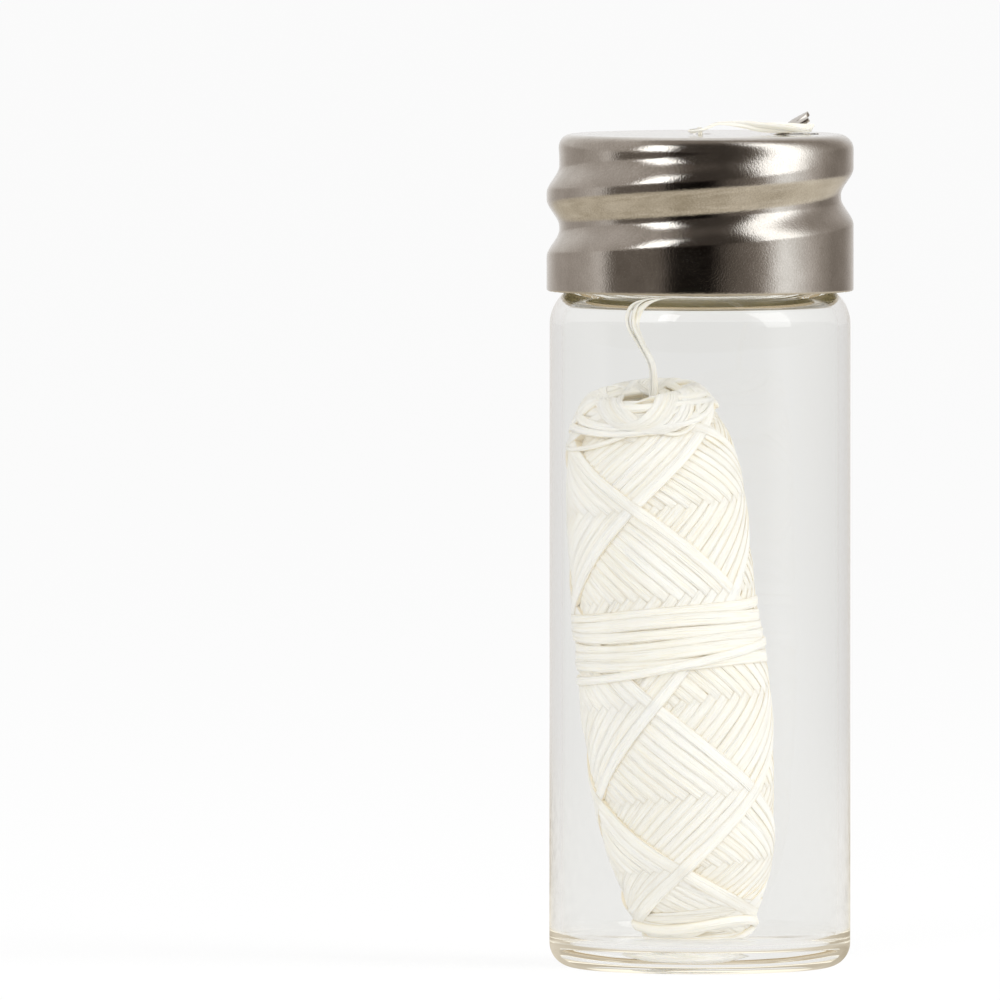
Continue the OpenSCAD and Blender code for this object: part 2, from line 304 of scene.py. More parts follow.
studio = {
    "ambient": 0.92,  # what matt surfaces see
    "floorSize": 16,
    "floorGlow": 0.72,
    "floorColour": (0.93, 0.93, 0.93, 1),
    "table": (0.10, 0.42),  # m from the object, where metal sees the lit table end
    "tableTones": [
        (0.0, (0.34, 0.28, 0.20)), (0.36, (0.44, 0.38, 0.28)), (0.56, (0.70, 0.63, 0.51)),
        (1.0, (0.98, 0.92, 0.81))],
    "tableGrain": 42.0, "tableDetail": 4.0,
    # m to the right, from and to which the table grows lighter, and by how much
    "tableLit": (0.0, 0.2, 0.3),
    "brightest": 3,  # of any level or tone
    # what polished metal sees: levels by azimuth, 0 in front and counted to the right
    "level": [
        (-180, 0.97), (-158, 0.70), (-139, 0.46), (-112, 0.40), (-92, 0.52), (-80, 0.66),
        (-71, 0.16), (-30, 0.15), (-23, 0.012), (0, 0.004), (9, 0.008), (18, 0.09), (28, 0.14),
        (40, 0.19), (50, 0.36), (58, 0.86), (67, 1.12), (78, 0.86), (90, 0.60), (103, 0.40),
        (119, 0.25), (139, 0.30), (160, 0.62), (180, 0.97)],
    "above": [
        (-180, 0.97), (-150, 0.72), (-112, 0.52), (-90, 0.50), (-62, 0.42), (-44, 0.30),
        (-24, 0.08), (-10, 0.055), (14, 0.055), (30, 0.08), (40, 0.22), (50, 1.6), (60, 1.9),
        (76, 1.8), (90, 0.75), (104, 0.42), (124, 0.30), (145, 0.45), (180, 0.97)],
    "overhead": [
        (-180, 0.25), (-80, 0.30), (-47, 0.26), (-24, 0.12), (52, 0.12), (72, 0.80), (92, 0.80),
        (116, 0.40), (180, 0.25)],
    "zenith": 0.25,
    # sines of the elevations from and to which each of these gives way to the next
    "rises": [(0.05, 0.2), (0.85, 0.98), (0.97, 0.998)],
    "window": {
        "azimuth": -40, "elevation": 34, "width": 27, "height": 38, "edge": 3, "level": 2.2},
    # what is seen through the glass, from behind the object to in front of it
    "through": [
        (0.0, (0.87, 0.865, 0.855)), (0.42, (0.84, 0.835, 0.82)), (0.62, (0.50, 0.465, 0.36)),
        (1.0, (0.34, 0.30, 0.20))],
    "throughFloor": (0.79, 0.785, 0.77),
    "lampsAim": (0, 0, 0.035),
    "lamps": [  # name, azimuth, elevation, distance, width, height, watts
        ("sideBox", 66, 33, 0.56, 0.25, 0.58, 0.96),
        ("frontBox", -29, 38, 0.60, 0.14, 0.24, 0.34),
    ],
}


def addTones(tree, source, stops):  # a ramp of colours that may be brighter than white
    most = studio["brightest"]
    ramp = addRamp(tree, source, [(at, [c / most for c in colour]) for at, colour in stops])
    return addMath(tree, "MULTIPLY", ramp, (most,) * 3, kind="VectorMath")


def addDirection(tree, vector):
    return axes(tree, addMath(tree, "NORMALIZE", vector, kind="VectorMath"))


def warm(level):  # the darker surroundings are the warmer ones
    dim = max(0, 1 - level)
    return (level, level * (1 - 0.17 * dim), level * (1 - 0.30 * dim))


def addSurround(tree, direction):  # what polished metal sees
    x, y, z = addDirection(tree, direction)
    azimuth = addMath(tree, "ARCTAN2", x, addMath(tree, "MULTIPLY", y, -1.0))
    share = addMath(tree, "ADD", addMath(tree, "DIVIDE", azimuth, turn), 0.5)
    seen, above, overhead = (
        addTones(tree, share, [(a / 360 + 0.5, warm(v)) for a, v in studio[name]])
        for name in ("level", "above", "overhead"))
    for rise, higher in zip(studio["rises"], (above, overhead, warm(studio["zenith"]))):
        seen = addMix(tree, addStep(tree, z, *rise), seen, higher)
    box = studio["window"]
    within = []
    for angle, middle, size in ((azimuth, box["azimuth"], box["width"]),
                                (addMath(tree, "ARCSINE", z), box["elevation"], box["height"])):
        away = addMath(tree, "SUBTRACT", angle, math.radians(middle))
        within.append(addStep(tree, addMath(tree, "ABSOLUTE", away),
                              math.radians(size / 2 + box["edge"]),
                              math.radians(size / 2 - box["edge"])))
    return addMix(tree, addMath(tree, "MULTIPLY", *within), seen, box["level"])


def makeFloor():
    bpy.ops.mesh.primitive_plane_add(size=studio["floorSize"])
    floor = newPiece("studio_floor")
    material, tree, matt = newMaterial(
        "studioFloor", Base_Color=studio["floorColour"], Roughness=0.9, Specular_IOR_Level=0.0)
    path = addNode(tree, "LightPath").outputs
    spot = place(tree, "Object")
    span = addNode(tree, "VectorMath", Vector=spot)
    span.operation = "LENGTH"
    far = addStep(tree, span.outputs["Value"], *studio["table"])
    mottle = addNode(tree, "TexNoise", Vector=spot, Scale=studio["tableGrain"],
                     Detail=studio["tableDetail"])
    low, high, more = studio["tableLit"]
    lit = addMath(tree, "MULTIPLY", addStep(tree, axes(tree, spot)["X"], low, high), more)
    table = addTones(tree, addMath(tree, "ADD", mottle.outputs["Fac"], lit), studio["tableTones"])
    reflected = addMix(tree, far, table, addSurround(tree, spot))
    seen = addMix(tree, path["Is Glossy Ray"], 1.0, reflected)
    # a ray that has passed through glass counts as glossy too, so this comes last
    seen = addMix(tree, path["Is Transmission Ray"], seen, studio["throughFloor"])
    metal = addMath(tree, "SUBTRACT", path["Is Glossy Ray"], path["Is Transmission Ray"])
    pale = addMath(tree, "MAXIMUM", path["Is Camera Ray"], path["Is Transmission Ray"])
    share = addMath(tree, "MULTIPLY", pale, studio["floorGlow"])
    glow = addNode(tree, "Emission", Color=seen)
    mix = addNode(tree, "MixShader")
    for socket, source in zip(mix.inputs, (
            addMath(tree, "MAXIMUM", share, metal), matt.outputs[0], glow.outputs[0])):
        tree.links.new(source, socket)
    tree.links.new(mix.outputs[0], tree.nodes["Material Output"].inputs["Surface"])
    floor.data.materials.append(material)


def makeWorld():
    world = bpy.data.worlds.new("studioWorld")
    bpy.context.scene.world = world
    world.use_nodes = True
    world.cycles.sampling_method = "NONE"  # so that metal sees the surround alone
    tree = world.node_tree
    way = place(tree, "Generated")
    path = addNode(tree, "LightPath").outputs
    seen = addMix(tree, path["Is Glossy Ray"], studio["ambient"], addSurround(tree, way))
    front = addMath(tree, "MULTIPLY", addDirection(tree, way)["Y"], -0.5)
    through = addTones(tree, addMath(tree, "ADD", front, 0.5), studio["through"])
    seen = addMix(tree, path["Is Transmission Ray"], seen, through)
    seen = addMix(tree, path["Is Camera Ray"], seen, 1.0)
    setInputs(tree, tree.nodes["Background"], Color=seen)


def makeLamps():
    for name, azimuth, elevation, distance, width, height, watts in studio["lamps"]:
        a, e = math.radians(azimuth), math.radians(elevation)
        away = Vector((math.sin(a) * math.cos(e), -math.cos(a) * math.cos(e), math.sin(e)))
        aim = Vector(studio["lampsAim"])
        bpy.ops.object.light_add(type="AREA", location=aim + away * distance)
        lamp = bpy.context.object
        lamp.name = name
        lamp.rotation_mode = "QUATERNION"
        lamp.rotation_quaternion = away.to_track_quat("Z", "Y")
        lamp.data.shape = "RECTANGLE"
        lamp.data.size, lamp.data.size_y = width, height
        lamp.data.energy = watts
        lamp.visible_glossy = False  # the surround holds the boxes that metal and glass reflect


makeFloor()
makeWorld()
makeLamps()
bpy.context.scene.view_settings.view_transform = "Standard"
print("studio made")


# Materials

def newGroup(name, values, results):  # from a place and some values to other values
    group = bpy.data.node_groups.new(name, "ShaderNodeTree")
    add = group.interface.new_socket
    add("Vector", in_out="INPUT", socket_type="NodeSocketVector")
    for label, value in values.items():
        add(label, in_out="INPUT", socket_type="NodeSocketFloat").default_value = value
    for label in results:
        add(label, in_out="OUTPUT", socket_type="NodeSocketFloat")
    given, result = (group.nodes.new("NodeGroup" + end) for end in ("Input", "Output"))
    return group, given.outputs, result.inputs


# Fine grain: speckle in two sizes, 0 to 1
def makeGrainGroup():
    group, given, result = newGroup(
        "surfaceGrain", {"Scale": 3000.0, "Cloud Scale": 200.0}, ("Grain", "Cloud"))
    for label, scale, detail in (("Grain", "Scale", 3.0), ("Cloud", "Cloud Scale", 2.0)):
        noise = addNode(group, "TexNoise", Vector=given["Vector"], Scale=given[scale],
                        Detail=detail, Roughness=0.6)
        group.links.new(noise.outputs["Fac"], result[label])
    return group


# Filaments of a floss band: streaks that run along the band's own UV map
def makeFilamentGroup():
    group, given, result = newGroup(
        "filaments", {"Along": 0.5, "Across": 9.0}, ("Streak", "Tuft", "Edge"))
    for label, finer in (("Streak", 1.0), ("Tuft", 0.35)):
        along, across = (
            addMath(group, "MULTIPLY", given[name], finer) for name in ("Along", "Across"))
        stretch = addNode(group, "CombineXYZ", X=along, Y=across).outputs[0]
        placed = addMath(group, "MULTIPLY", given["Vector"], stretch, kind="VectorMath")
        noise = addNode(group, "TexNoise", Vector=placed, Scale=1.0, Detail=2.0)
        group.links.new(noise.outputs["Fac"], result[label])
    # Edge: 0 in the middle of a band and 1 at its edges, where painted shade goes
    aside = addMath(group, "SUBTRACT", axes(group, given["Vector"])["Y"], 0.5)
    aside = addMath(group, "MULTIPLY", addMath(group, "ABSOLUTE", aside), 2.0)
    group.links.new(addMath(group, "POWER", aside, 7.0), result["Edge"])
    return group


surfaceGrain = makeGrainGroup()
filaments = makeFilamentGroup()


def addGrain(tree, scales):
    return addGroup(tree, surfaceGrain, Vector=place(tree, "Object"), Scale=scales[0],
                    Cloud_Scale=scales[1])


glassLook = {
    "colour": (0.995, 0.997, 0.992, 1), "ior": 1.5, "waviness": 0.02, "depth": 0.2 * mm,
    "scales": (60.0, 90.0),
    # painted glow: emission tones for light that has gone to and fro in the thick base, and in the
    # neck
    "trappedGlow": (0.60, 0.565, 0.475), "trappedGlowNeck": (0.24, 0.19, 0.12),
    "baseEnd": (5 * mm, 9 * mm), "bounces": 3.5,
}


def makeGlass():
    look = glassLook
    material, tree, surface = newMaterial(
        "clearGlass", Base_Color=look["colour"], Roughness=0.0, IOR=look["ior"], Metallic=0.0,
        Transmission_Weight=1.0, Emission_Strength=1.0)
    grain = addGrain(tree, look["scales"])
    # painted glow: after more glossy bounces than this, the glass glows in these tones in place of
    # black
    depth = addNode(tree, "LightPath").outputs["Glossy Depth"]
    deep = addMath(tree, "GREATER_THAN", depth, look["bounces"])
    glowShare = addMath(tree, "MULTIPLY", deep, addNode(tree, "Fresnel", IOR=look["ior"]).outputs[0])
    height = axes(tree, place(tree, "Object"))["Z"]
    tone = addMix(tree, addStep(tree, height, *look["baseEnd"]),
                  look["trappedGlow"], look["trappedGlowNeck"])
    setInputs(tree, surface, Emission_Color=addMix(tree, glowShare, 0.0, tone),
              Normal=addBump(tree, grain["Cloud"], look["depth"], look["waviness"]))
    return material


steelLook = {
    "tones": [(0.3, (0.53, 0.50, 0.455)), (0.7, (0.72, 0.69, 0.645))],
    "dullness": [(0.25, (0.09, 0.09, 0.09)), (0.75, (0.13, 0.13, 0.13))],
    "scales": (6000.0, 420.0), "depth": 0.1 * mm, "bump": 0.14,
}
shadedLacquerLook = {  # of the gold lacquer inside the cap, with its tones darkened as painted shade for the cap's shadowed inside
    "tones": [(0.3, (0.13, 0.105, 0.045)), (0.7, (0.27, 0.225, 0.115))],
    "speckle": "Cloud", "scales": (1500.0, 200.0), "depth": 0.05 * mm, "bump": 0.2,
}
linerLook = {
    "tones": [(0.35, (0.80, 0.78, 0.72)), (0.65, (0.90, 0.885, 0.84))],
    "speckle": "Grain", "scales": (2200.0, 300.0), "depth": 0.1 * mm, "bump": 0.4,
}


def makeGrainy(name, look, **values):  # speckled by one output of the grain, or by both
    material, tree, surface = newMaterial(name, **values)
    grain = addGrain(tree, look["scales"])
    source = grain[look["speckle"]] if "speckle" in look else addMath(
        tree, "MULTIPLY", addMath(tree, "ADD", grain["Grain"], grain["Cloud"]), 0.5)
    setInputs(tree, surface, Base_Color=addRamp(tree, source, look["tones"]),
              Normal=addBump(tree, grain["Grain"], look["depth"], look["bump"]))
    if "dullness" in look:
        setInputs(tree, surface, Roughness=addRamp(tree, grain["Cloud"], look["dullness"]))
    return material


flossLook = {
    "thread": [(0.28, (0.94, 0.865, 0.69)), (0.52, (0.98, 0.945, 0.84))],
    "bright": [(0.25, (0.98, 0.945, 0.84)), (0.6, (0.99, 0.97, 0.905))],
    "tucked": (0.86, 0.765, 0.575),  # painted shade: the tan put on a band's edges, where a band's edge lies under its neighbour
    "sheen": 0.1, "subsurface": 0.15, "ridge": 0.7, "tuftDepth": 0.25 * mm, "depth": 0.12 * mm,
}


def makeFloss(name, along, across, edgeShade):
    look = flossLook
    material, tree, surface = newMaterial(
        name, Roughness=0.55, Specular_IOR_Level=0.35, Sheen_Weight=look["sheen"],
        Sheen_Roughness=0.5, Subsurface_Weight=look["subsurface"],
        Subsurface_Radius=(1.0, 0.85, 0.6), Subsurface_Scale=0.6 * mm)
    streaks = addGroup(tree, filaments, Vector=place(tree, "UV"), Along=along, Across=across)
    tone = addNode(tree, "Attribute")
    tone.attribute_name = "bandTone"
    thread, bright = (
        addRamp(tree, streaks["Streak"], look[name]) for name in ("thread", "bright"))
    blend = addMix(tree, tone.outputs["Fac"], thread, bright)
    # painted shade: the band's edges are tinted towards the tucked tan
    edge = addMath(tree, "MULTIPLY", streaks["Edge"], edgeShade)
    wide = addBump(tree, streaks["Tuft"], look["tuftDepth"], look["ridge"])
    fine = addBump(tree, streaks["Streak"], look["depth"], look["ridge"], Normal=wide)
    setInputs(tree, surface, Base_Color=addMix(tree, edge, blend, look["tucked"]), Normal=fine)
    return material


clearGlass = makeGlass()
satinSteel = makeGrainy("satinSteel", steelLook, Metallic=1.0)
# the lacquer's dark tones are painted shade for the inside of the cap
shadedLacquer = makeGrainy("shadedLacquer", shadedLacquerLook, Roughness=0.3, Metallic=0.35)
linerFoam = makeGrainy("linerFoam", linerLook, Roughness=0.75)
woundFloss = makeFloss("woundFloss", 0.32, 10.0, 0.75)
drawnFloss = makeFloss("drawnFloss", 0.5, 7.0, 0.0)
print("materials made")


# The drawn strand: bundles that part and twist on their way up to the cap

strand = {
    # mm, from the spool's hollow to the hole in the cap
    "route": [
        (-3.6, 0, 39.6), (-3.7, 0, 40.5), (-3.9, 0, 42.5), (-4, -0.1, 44.5), (-4, -0.2, 46.5),
        (-3.9, -0.2, 48.5), (-4.1, -0.2, 50.2), (-4.9, -0.2, 51.8), (-5.6, -0.2, 53.4),
        (-5.4, -0.2, 55.2), (-4.6, -0.2, 57), (-3.5, -0.1, 59), (-2.2, 0, 61.2),
        (-1.1, 0, 63.2), (-0.3, 0, 65.2), (0, 0, 67.2), (0, 0, 69.1)],
    "length": 31.3, "diameter": 0.8,
    # apart in a V at the spool, together above it, and apart again under the cap
    "apart": (0.17, 0.20, 0.30), "partings": [(0.12, 0.32), (0.38, 0.5), (0.8, 1)],
    "bundles": (0, 2.2, 4.1), "twist": 5.0, "flat": 0.5,
    "width": 0.60, "thinner": 0.06, "swell": 0.05, "swells": 17, "thick": 0.6, "roll": 0.6,
    "step": 0.25,
}
tail = {
    # mm, out of the hole, over the cap's top and under the tab
    "route": [
        (0, 0, 69.1), (0, 0, 69.4), (0, -0.2, 69.6), (-0.1, -0.6, 69.7), (-0.3, -1.6, 69.6),
        (-0.7, -3, 69.6), (-0.9, -4.4, 69.6), (-0.7, -5.4, 69.6), (-0.1, -5.8, 69.7),
        (0.6, -5.4, 69.9), (1.3, -4.8, 70.2), (2.4, -4, 70.2), (3.7, -3.2, 70.1),
        (5, -2.7, 69.9), (6.2, -2.4, 69.8), (7.4, -2.1, 69.7), (8.4, -1.4, 69.6),
        (8.9, -0.4, 69.6), (9, 0.8, 69.6)],
    "broadens": (0.45, 0.75), "apart": (0.08, 0.12),
    "bundles": (0, 2.5), "twist": 9, "flat": 0.6,
    "width": (0.26, 0.6), "thinner": 0.3, "thick": 0.5, "roll": 0.3,
    "step": 0.2,
}
bundleLook = {"sides": 8, "tone": 0.3, "toneStep": 0.25, "smooth": 70}


# One bundle of filaments: a soft flat tube that runs beside a line
def addBundle(rings, line, side, up, places, width, thick, roll):
    angles = np.arange(bundleLook["sides"]) / bundleLook["sides"] * turn
    c, s = np.cos(roll)[:, None, None], np.sin(roll)[:, None, None]
    flat = side[:, None] * c + up[:, None] * s
    high = up[:, None] * c - side[:, None] * s
    ring = flat * (np.cos(angles)[None, :, None] * width[:, None, None] / 2) \
        + high * (np.sin(angles)[None, :, None] * thick[:, None, None] / 2)
    rings.append((line + side * places[0][:, None] + up * places[1][:, None])[:, None] + ring)


def framesAlong(line, first):
    heading = np.gradient(line, axis=0)
    heading /= np.linalg.norm(heading, axis=1)[:, None]
    sides = [np.array(first, float)]
    for h in heading:
        n = sides[-1] - h * (sides[-1] @ h)
        sides.append(n / np.linalg.norm(n))
    side = np.array(sides[1:])
    return side, np.cross(heading, side)


def bundleMesh(name, rings, along):
    count, sides = rings[0].shape[:2]
    size, bundles = count * sides, np.arange(len(rings))
    faces = [face for index in bundles for face in tubeFaces(count, sides, int(index) * size)]
    uv = np.stack([np.repeat(along, sides), np.tile(np.arange(sides) / sides, count)], -1)
    tone = np.repeat((bundleLook["tone"] + bundleLook["toneStep"] * bundles) % 1, size)
    return makeFlossMesh(name, np.concatenate(rings), faces, np.tile(uv, (len(rings), 1)), tone,
                         bundleLook["smooth"], drawnFloss)


def evenLine(route, step):
    line, along = curveThrough(route)
    even = np.linspace(0, along[-1], int(along[-1] / step) + 1)
    return np.stack([np.interp(even, along, line[:, k]) for k in range(3)], -1), even


def makeBundles(name, cord, first, spread, widthOf):
    line, along = evenLine(cord["route"], cord["step"])
    side, up = framesAlong(line, first)
    share = along / along[-1]
    rings = []
    for index, phase in enumerate(cord["bundles"]):
        twist = phase + share * cord["twist"]
        width = widthOf(share, index, phase)
        addBundle(rings, line, side, up, spread(share, twist), width, width * cord["thick"],
                  twist * cord["roll"])
    return bundleMesh(name, rings, along), line


def strandSpread(share, twist):
    near, more, most = strand["apart"]
    foot, rise, top = strand["partings"]
    apart = near + more * (1 - ease(share, *foot))
    apart = apart + most * ease(share, *rise) * (1 - ease(share, *top))
    return apart * np.sin(twist) * strand["flat"], apart * np.cos(twist)


def strandWidth(share, index, phase):
    swell = strand["swell"] * np.sin(share * strand["swells"] + phase)
    return strand["width"] - strand["thinner"] * index + swell


def tailSpread(share, twist):
    apart = tail["apart"][0] + tail["apart"][1] * ease(share, *tail["broadens"])
    return apart * np.cos(twist), apart * np.sin(twist) * tail["flat"]


def tailWidth(share, index, phase):
    narrow, wide = tail["width"]
    return narrow + wide * ease(share, *tail["broadens"]) * (1 - tail["thinner"] * index)


def makeStrand():
    piece, line = makeBundles("drawn_strand", strand, (0, 1, 0), strandSpread, strandWidth)
    print("strand volume", round(volumeOf(piece) / mm ** 3, 2))
    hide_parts("floss_strand")
    return piece, line


def makeTail():
    piece = makeBundles("loose_end", tail, (1, 0, 0), tailSpread, tailWidth)[0]
    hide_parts("floss_tail")
    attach(piece, "cap")
    return piece


tailPiece = makeTail()
strandPiece, strandLine = makeStrand()
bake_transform(strandPiece)
print("strand and tail made")


# Floss, wound over the spool's heart in the order in which it was laid

spool = {
    "foot": (0.0, 0, 2.37),  # mm, where the spool's own axis stands in the vial
    "lean": math.radians(6.0),
    "rimTilt": 0.13,  # the rim is higher at the back
    # radius and height of the finished spool, from under its foot, up its side,
    # over its rim and down into its hollow
    "outline": [
        (0, 0.5), (1.8, 0.2), (3.1, 0.35), (4.2, 1.0), (5.1, 2.4), (5.9, 4.6), (6.6, 7.6),
        (7.1, 11.0), (7.42, 14.5), (7.6, 18), (7.66, 21), (7.6, 24.3), (7.42, 28.5), (7.27, 32.7),
        (7.1, 37.4), (6.75, 40.2), (6.25, 42.2), (5.6, 43.9), (4.9, 45.0), (4.2, 45.4),
        (3.6, 45.0), (3.0, 44.2), (2.5, 42.8), (2.1, 41.2), (1.8, 39)],
    "cell": 0.06, "cellsRound": 900,  # of the map that the floss is heaped on
    "rimFrom": (32, 46),  # mm up the spool, where its rim begins to tilt and tilts in full
    "room": 11.4,  # mm from the vial's axis to the inside of the glass
    "give": 0.5,  # mm before the glass, over which the floss is pressed flat
    "cap": 1.5,  # mm of floss that the thickest heap is pressed down towards
    "near": 0.15,  # mm to each side, between which the outline's slope is taken
    "heartPoints": 110, "heartAround": 96, "heartLift": 0.08, "heartReach": 25,
    "heartUv": (12, 0.9), "smooth": 60,
}


outlineLine, outlineAlong = curveThrough(spool["outline"])
rimPoint = int(np.argmax(outlineLine[:, 1]))


def radiusAt(v):
    return np.interp(v, outlineAlong, outlineLine[:, 0])


def heightAt(v):
    return np.interp(v, outlineAlong, outlineLine[:, 1])


def inVial(angle, r, s):  # from a place on the upright spool to the leaning one, in mm
    s = s + spool["rimTilt"] * r * np.sin(angle) * ease(s, *spool["rimFrom"])
    c, sn = math.cos(spool["lean"]), math.sin(spool["lean"])
    fx, fy, fz = spool["foot"]
    x, y = r * np.cos(angle), r * np.sin(angle)
    x, y, z = fx + x * c - s * sn, fy + y, fz + x * sn + s * c
    out, give = np.hypot(x, y), spool["give"]
    free = spool["room"] - give
    over = np.maximum(out - free, 0)
    flat = np.where(over > 0, free + give * (1 - np.exp(-over / give)), out)
    kept = flat / np.maximum(out, 1e-6)
    return np.stack([x * kept, y * kept, z], -1)


def raised(v, up):  # radius and height of a point over the outline
    near = spool["near"]
    dr = radiusAt(v + near) - radiusAt(v - near)
    ds = heightAt(v + near) - heightAt(v - near)
    size = np.hypot(dr, ds) + 1e-9
    return radiusAt(v) + ds / size * up, heightAt(v) - dr / size * up


def onSpool(angle, v, up):
    return inVial(angle, *raised(v, up))


rows = int(outlineAlong[-1] / spool["cell"]) + 2
heap = np.zeros((spool["cellsRound"], rows))  # height of the floss laid so far


def cells(angle, v):
    a = np.floor(angle / turn * spool["cellsRound"]).astype(int) % spool["cellsRound"]
    return a, np.clip((v / spool["cell"]).astype(int), 0, rows - 1)


def widest(x, reach):  # running maximum along a band
    padded = np.pad(x, ((reach, reach), (0, 0)), mode="edge")
    return np.max([padded[i: i + len(x)] for i in range(2 * reach + 1)], axis=0)


def soften(x, reach):  # running mean along a band, twice
    kernel = np.ones(2 * reach + 1) / (2 * reach + 1)
    kernel = np.convolve(kernel, kernel)
    padded = np.pad(x, ((2 * reach, 2 * reach), (0, 0)), mode="edge")
    return np.stack([np.convolve(column, kernel, mode="valid") for column in padded.T], -1)


laying = {  # counted in steps along a band
    "run": 150, "lag": 60, "margin": 40, "reach": 9,
    "samples": 13,  # across a band
    "bedShare": 0.45, "peakShare": 0.55,  # a stiff band follows the highest floss under it
    "squareness": 4,  # of its section
}


# One band is laid on the heap, a short run at a time: it is stretched over
# steps and gaps, and what lies more than a lag behind is added to the heap
def layBand(path, sections):
    angle, v, width, thick = path["angle"], path["v"], path["width"], path["thick"]
    r = radiusAt(v)
    da, dv = np.gradient(angle) * r, np.gradient(v)
    size = np.hypot(da, dv)
    fine = np.linspace(-0.5, 0.5, laying["samples"])
    offset = width[:, None] * fine
    a = angle[:, None] + offset * (dv / size)[:, None] / np.maximum(r, 1)[:, None]
    w = v[:, None] - offset * (da / size)[:, None]
    ca, cv = cells(a, w)
    crown = np.sqrt(np.clip(1 - np.abs(2 * fine) ** laying["squareness"], 0, 1))
    top = thick[:, None] * crown
    seat = np.zeros_like(a)
    bed = np.zeros_like(a)
    run, lag, margin, reach = (laying[key] for key in ("run", "lag", "margin", "reach"))
    for start in range(0, len(angle) + lag, run):
        low, high = max(0, start - margin), min(len(angle), start + run + margin)
        if start < len(angle):
            bare = heap[ca[low:high], cv[low:high]]
            under = widest(bare, reach)
            peak = under.max(1, keepdims=True)
            under = soften(laying["bedShare"] * under + laying["peakShare"] * peak, reach)
            end = min(start + run, len(angle))
            seat[start:end] = under[start - low: end - low]
            bed[start:end] = bare[start - low: end - low]
        old, new = max(0, start - lag), max(0, min(start + run - lag, len(angle)))
        np.maximum.at(heap, (ca[old:new], cv[old:new]), (seat + top)[old:new])
    pick = np.interp(sections, fine, np.arange(len(fine))).round().astype(int)
    return {"angle": a[:, pick], "v": w[:, pick], "bed": np.minimum(seat, bed)[:, pick],
            "seat": seat[:, pick], "crown": top[:, pick], "tone": path["tone"]}


floss = {
    "seed": 11,
    "strokeTurns": 1.6708,  # turns round the spool in one stroke, end to end
    "groupAt": math.radians(-81),  # where the upper layer starts, at the top
    "underCycles": 33, "topCycles": 15,  # there and back, of the lower and the upper layer
    "top": 52.5, "foot": 2.5,  # mm along the outline, between which a stroke runs
    "skew": 0.048,
    "topLimits": (52.0, 52.5, 51.0, 49.6, 48.6),  # where the strokes turn back, in turn
    "footLimits": (3.0, 4.4, 3.4, 5.8, 4.8), "limitSpread": 0.4, "limitHold": 6,
    "width": 1.0, "widthSpread": 0.06,
    "thick": 0.125,
    "ropeWidth": 0.76, "ropeThick": 0.26,  # where a band rolls up as it turns back
    "wander": 0.018,
    "step": 0.1, "perStroke": 400,
    "skewPower": 1.5, "turningPower": 8,
    "topSoftness": 0.7, "footSoftness": 1.2,
    "sunk": 0.08, "sunkWidth": 0.9,  # of a band's lower edges
}
chance = np.random.default_rng(floss["seed"])


def evenly(angle, v, width, thick, tone):  # the same path with a point at each step
    r = radiusAt(v)
    run = np.hypot(np.gradient(angle) * r, np.gradient(v))
    along = np.concatenate([[0], np.cumsum((run[1:] + run[:-1]) / 2)])
    even = np.arange(0, along[-1], floss["step"])
    path = {"angle": angle, "v": v, "width": width, "thick": thick, "tone": tone}
    return {key: np.interp(even, along, values) for key, values in path.items()}


def waver(angle, *waves):  # a sum of waves: how high, how fast and from where
    return sum(high * np.sin(angle * fast + start) for high, fast, start in waves)


def upSide(s):  # the place along the outline at a height on the spool's side
    return np.interp(s, outlineLine[:rimPoint, 1], outlineAlong[:rimPoint])


def limitsOf(knots, limits):  # a limit for each end, the same for three ends in a row
    picked = np.array(limits)[(knots // floss["limitHold"]) % len(limits)]
    return picked + chance.uniform(-1, 1, len(knots)) * floss["limitSpread"]


def windStrokes(cycles, startAngle, tones):
    f = floss
    strokes = 2 * cycles
    t = np.linspace(0, strokes, strokes * f["perStroke"] + 1)
    knots = np.arange(strokes + 1)
    stroke = np.minimum(t.astype(int), strokes - 1)
    down = np.clip(np.where(stroke % 2 == 0, t - stroke, stroke + 1 - t), 0, 1)
    down = down + f["skew"] * np.sin(np.pi * down ** f["skewPower"])
    v = f["top"] + (f["foot"] - f["top"]) * (1 - np.cos(np.pi * down)) / 2
    nearest = np.round(t / 2).astype(int) * 2  # the top end that a point is nearest to
    top = limitsOf(knots, f["topLimits"])[np.clip(nearest, 0, strokes)]
    nearest = np.clip(np.floor(t / 2).astype(int) * 2 + 1, 0, strokes)
    foot = limitsOf(knots, f["footLimits"])[nearest]
    soft = f["topSoftness"]
    v = -np.log(np.exp(-soft * v) + np.exp(-soft * top)) / soft
    soft = f["footSoftness"]
    v = np.log(np.exp(soft * v) + np.exp(soft * foot)) / soft
    drift = np.interp(t, knots, chance.normal(0, f["wander"], len(knots)))
    angle = startAngle + turn * f["strokeTurns"] * t + drift
    turning = np.abs(np.cos(np.pi * t)) ** f["turningPower"]
    spread = np.interp(t, knots, chance.normal(0, f["widthSpread"], len(knots)))
    width = f["width"] * (1 - turning) + f["ropeWidth"] * turning + spread
    thick = f["thick"] * (1 - turning) + f["ropeThick"] * turning
    tone = np.interp(t, knots + 0.5, chance.uniform(*tones, len(knots)))
    return evenly(angle, v, width, thick, tone)


